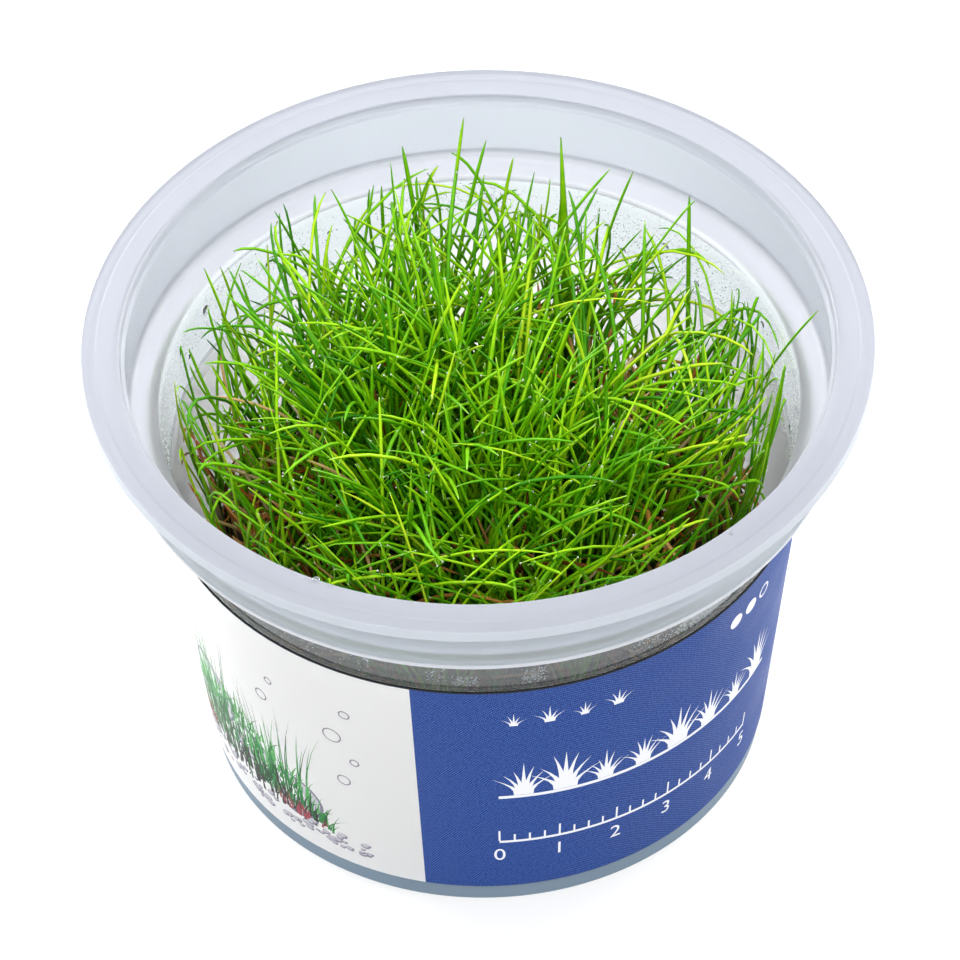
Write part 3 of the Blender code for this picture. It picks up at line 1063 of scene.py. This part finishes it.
def add_long_leaf(strands, chance, place, tip, half_width):
    """A leaf on a curve from its crown to a tip that stands out of the canopy."""
    tip = np.array(tip)
    share = LEAF_SHARES[:, None]
    knee = place + (tip - place) * np.array((0.35, 0.35, 0.62))
    path = place * (1 - share) ** 2 + knee * 2 * share * (1 - share) + tip * share ** 2
    pull = tip[:2] - place[:2]
    across = np.array((-pull[1], pull[0], 0.0)) / max(np.hypot(*pull), 0.1)
    width = broad_width(half_width) if half_width > 0.5 else needle_width(half_width)
    # Most of these tips get the painted dark shade
    strands.add(path, width, 0.6, across, chance.uniform(0.5, 0.75), olive=0.8)


def pull_at(place):
    """Which way the leaves here lean: outwards near the wall, and in loose swirls everywhere."""
    x, y = place[:2]
    swirl = 2 * math.pi * ground_noise(x, y, 0.035, 5.5)
    reach = math.hypot(x, y) / FIELD_RADIUS
    outward = OUTWARD * reach ** 0.7 * (1 - 0.6 * reach ** 4)
    facing = np.array((x, y)) / math.hypot(x, y)
    swirling = SWIRL * (1 - 0.4 * reach ** 2)
    return outward * facing + swirling * np.array((math.cos(swirl), math.sin(swirl)))


def build_plantlets(finish):
    """The plantlets. Gives back each leaf's path with its half widths."""
    chance = np.random.default_rng(SEED)
    places = list(tuft_places())
    long_leaves = {index: [] for index in range(TUFTS)}
    for x, y, height, half_width in LONG_LEAVES:
        nearest = min(range(TUFTS), key=lambda index: math.dist(places[index][:2], (x, y)))
        long_leaves[nearest].append(((x, y, height), half_width))
    paths = []
    for index, place in enumerate(places):
        strands = Strands(LEAF_SIDES)
        for tip, half_width in long_leaves[index]:
            add_long_leaf(strands, chance, place, tip, half_width)
        for _ in range(max(round(SHOOTS * fullness(*place[:2])), 2)):
            add_shoot(strands, chance, place, pull_at(place))
        name = f"{index + 1:02d}"
        strands.build("plantlet_" + name, finish, ["tuft_" + name])
        paths += strands.paths
    return paths


# Root mat

MAT_RINGS = 30
MAT_STEPS = 120
ROOTS = 1000
ROOT_FIELD = 34.0
ROOT_LENGTHS = (5, 20)
ROOT_HALF_WIDTHS = (0.1, 0.4)
ROOT_RINGS = 9
ROOT_SIDES = 4

# How high strands may lie over the mat, and what old growth adds to that
ROOT_LIFT = 6.0
OLD_ROOT_LIFT = 17.0


def build_root_mat():
    edge = inner_radius(MAT_BOTTOM) - 2 * GAP
    profile = [Vector((edge * ring / MAT_RINGS, MAT_TOP)) for ring in range(MAT_RINGS)]
    profile += [Vector((edge, MAT_TOP - 1.0)), Vector((edge, MAT_BOTTOM)), Vector((0.0, MAT_BOTTOM))]
    vertices, faces = turned(profile, MAT_STEPS)
    vertices = np.array(vertices)
    for vertex in vertices:
        x, y, height = vertex
        if height > MAT_TOP - 0.01:
            vertex[2] = mat_height(x, y) + 0.5 * ground_noise(x, y, 0.5, 1.3)
    make_piece("root_felt", vertices, faces, (root_material(),), ["root_mat"])


def build_roots(finish):
    """Roots, runners and old leaves that lie in a tangle on the mat."""
    chance = np.random.default_rng(SEED + 1)
    strands = Strands(ROOT_SIDES)
    share = np.linspace(-0.5, 0.5, ROOT_RINGS)
    middle = ROOT_RINGS // 2
    for _ in range(ROOTS):
        radius = ROOT_FIELD * math.sqrt(chance.random())
        angle = chance.uniform(0, 2 * math.pi)
        heading = chance.uniform(0, 2 * math.pi)
        length = chance.uniform(*ROOT_LENGTHS)
        turn = heading + chance.normal(0, 1.2) * share
        x = radius * math.cos(angle) + np.cumsum(np.cos(turn)) * length / ROOT_RINGS
        y = radius * math.sin(angle) + np.cumsum(np.sin(turn)) * length / ROOT_RINGS
        lift = chance.uniform(0.2, ROOT_LIFT + OLD_ROOT_LIFT * oldness(x[middle], y[middle]))
        arch = chance.uniform(0, 3.0) * (1 - (2 * share) ** 2)
        path = held_by_wall(np.stack([x, y, MAT_TOP + 0.4 + (lift + arch)], axis=1))
        width = chance.uniform(*ROOT_HALF_WIDTHS) * (1.0 - 0.7 * np.abs(2 * share) ** 3)
        across = np.array((-math.sin(heading), math.cos(heading), 0.0))
        strands.add(path, width, 0.6, across, chance.beta(1.8, 1.4), 1.0)
    strands.build("runners_and_roots", finish, [])


# Water

TIP_DROP_SHARE = 0.3
TIP_DROP_RADII = (0.08, 0.16)
SIDE_DROP_SHARE = 0.5
SIDE_DROP_RADII = (0.06, 0.12)

# Mist on the cup's inner wall: from and to in degrees round from +X, lowest and highest, count, and radii
MISTS = (
    (26, 78, 44.5, 54.4, 1200, 0.05, 0.13),
    (78, 112, 49.5, 54.0, 350, 0.05, 0.13),
    (116, 164, 48.5, 54.2, 400, 0.05, 0.14),
    (164, 186, 46.0, 54.2, 300, 0.05, 0.14),
    (-14, 26, 40.0, 54.2, 900, 0.05, 0.13),
    (-54, -8, 44.6, 53.6, 3300, 0.15, 0.27),
    (-64, -50, 44.8, 50.0, 160, 0.06, 0.13),
    (-84, -79, 44.8, 48.0, 120, 0.06, 0.13),
    (-101, -97, 45.5, 52.0, 70, 0.06, 0.13),
    (-97, -91, 44.8, 46.8, 90, 0.06, 0.13),
    (-130, -108, 44.8, 50.0, 70, 0.05, 0.1),
)

# Single drops on the inner wall: degrees round from +X, height and radius
WALL_DROPS = (
    (52.0, 50.0, 0.62), (61.0, 46.5, 0.45), (44.0, 47.0, 0.5), (150.0, 52.2, 0.7), (143.0, 50.0, 0.45),
    (158.0, 49.0, 0.4), (-103.0, 52.0, 0.6), (-99.5, 49.0, 0.35), (-90.5, 51.6, 0.4), (-70.0, 47.8, 0.5),
    (-59.5, 50.8, 0.55), (-112.0, 47.2, 0.4), (3.0, 46.0, 0.5), (24.0, 50.5, 0.45), (118.0, 50.5, 0.4),
)

# Single drops on the rim: x, y and radius
RIM_DROPS = ((-20.6, -40.4, 0.5), (-18.9, -41.6, 0.3), (30.5, -34.6, 0.3))


def drop_form(sides, tiers):
    """Points and faces of a unit ball with its poles along its third axis."""
    slopes = [math.pi * tier / tiers for tier in range(tiers + 1)]
    points, faces = turned([Vector((math.sin(slope), math.cos(slope))) for slope in slopes], sides)
    return np.array(points), faces


def build_drops(name, finish, drops, sides, tiers):
    """drops are (centre, radius, outward direction, thickness as a share of the radius)."""
    form, form_faces = drop_form(sides, tiers)
    points, faces = [], []
    for centre, radius, outward, thickness in drops:
        turn = np.array(Vector(outward).to_track_quat("Z", "Y").to_matrix())
        first = len(points) * len(form)
        points.append(np.array(centre) + (form * (radius, radius, radius * thickness)) @ turn.T)
        faces += [tuple(first + corner for corner in face) for face in form_faces]
    make_piece(name, np.concatenate(points), faces, (finish,), [])


def leaf_drops(paths):
    """Small drops at the tips of some leaves and along others."""
    chance = np.random.default_rng(SEED + 3)
    for path, width in paths:
        if chance.random() < TIP_DROP_SHARE:
            yield path[-1], chance.uniform(*TIP_DROP_RADII), (0.0, 0.0, 1.0), 1.0
        if chance.random() < SIDE_DROP_SHARE:
            ring = chance.integers(4, len(path) - 1)
            radius = chance.uniform(*SIDE_DROP_RADII)
            side = pointing(math.radians(chance.uniform(0, 60)), chance.uniform(0, 2 * math.pi))
            yield path[ring] + side * (0.7 * width[ring] + 0.4 * radius), radius, tuple(side), 0.8


def wall_drop(degrees, height, radius):
    """A flat drop that clings to the inner wall."""
    angle = math.radians(degrees)
    inward = (-math.cos(angle), -math.sin(angle), 0.0)
    reach = inner_radius(height) - 0.15 * radius
    return ((reach * math.cos(angle), reach * math.sin(angle), height), radius, inward, 0.45)


def rim_drop(x, y, radius):
    """A flat drop that sits on the rim."""
    return ((x, y, CUP_HEIGHT + 0.1 * radius), radius, (0.0, 0.0, 1.0), 0.4)


def mist_drops():
    chance = np.random.default_rng(SEED + 4)
    for start, end, low, high, count, least, most in MISTS:
        for _ in range(count):
            degrees = start + (end - start) * chance.beta(1.6, 1.6)
            height = low + (high - low) * chance.beta(1.2, 1.5)
            yield wall_drop(degrees, height, chance.uniform(least, most))


# Stage

def add_camera():
    camera = add_object("camera", bpy.data.cameras.new("camera"))
    camera.data.lens = LENS
    camera.data.sensor_width = SENSOR
    place, aim = Vector(CAMERA_PLACE) * MM, Vector(CAMERA_AIM) * MM
    facing = (aim - place).to_track_quat("-Z", "Y").to_matrix() @ Matrix.Rotation(CAMERA_ROLL, 3, "Z")
    camera.matrix_world = Matrix.Translation(place) @ facing.to_4x4()
    bpy.context.scene.camera = camera


WHITE = opaque((1.0, 1.0, 1.0))
WORLD_STRENGTH = 1.5
FLOOR_HALF = 3000.0
LIGHT_AIM = (0, 0, 40)

# Name, place, width and power
SOFTBOXES = (
    ("top_light", (-60, 60, 900), 420, 2.6),
    ("back_left_light", (-470, 430, 120), 300, 3.8),
    ("back_right_light", (470, 430, 120), 300, 3.8),
)


def add_softbox(name, place, size, power):
    light = bpy.data.lights.new(name, "AREA")
    light.shape = "DISK"
    light.size = size * MM
    light.energy = power
    lamp = add_object(name, light)
    lamp.location = Vector(place) * MM
    lamp.rotation_euler = (Vector(LIGHT_AIM) * MM - lamp.location).to_track_quat("-Z", "Y").to_euler()


def add_floor():
    """A pale floor that glows a little, so that it meets the white background without a line."""
    finish = Finish("studio_floor", Roughness=0.9, Emission_Strength=0.5, Emission_Color=WHITE)
    finish.tones(finish.noise(3.0), (0.50, 0.50, 0.50), (0.52, 0.52, 0.52))
    corners = [(*corner, 0.0) for corner in box_shape(-FLOOR_HALF, -FLOOR_HALF, FLOOR_HALF, FLOOR_HALF)]
    floor = add_mesh("studio_floor", corners, [(0, 1, 2, 3)], (finish.material,))
    floor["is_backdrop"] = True


def add_stage():
    world = bpy.data.worlds.new("studio")
    world.use_nodes = True
    background = world.node_tree.nodes["Background"]
    background.inputs["Color"].default_value = WHITE
    background.inputs["Strength"].default_value = WORLD_STRENGTH
    bpy.context.scene.world = world
    for softbox in SOFTBOXES:
        add_softbox(*softbox)
    add_floor()
    bpy.context.scene.view_settings.view_transform = "Standard"


add_camera()
add_stage()
build_cup()
build_gel()
build_label()
build_root_mat()
LEAF = leaf_material()
build_roots(LEAF)
# Clear water that is partly milky white: the white is a painted highlight on each drop
DEW_WITH_PAINTED_HIGHLIGHT = water_material("dew_painted_highlight", 0.6, 0.2)
build_drops("leaf_drops", DEW_WITH_PAINTED_HIGHLIGHT, leaf_drops(build_plantlets(LEAF)), 6, 4)
build_drops("wall_mist", water_material("mist", 0.2, 0.3), mist_drops(), 6, 3)
WATER = water_material("water", 1.0, 0.02)
build_drops("wall_drops", WATER, [wall_drop(*drop) for drop in WALL_DROPS], 12, 6)
build_drops("rim_drops", WATER, [rim_drop(*drop) for drop in RIM_DROPS], 12, 6)

boxes = {"cad": CAD_BOX, "visual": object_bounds()}
{name: [list(corner) for corner in box] for name, box in boxes.items()}
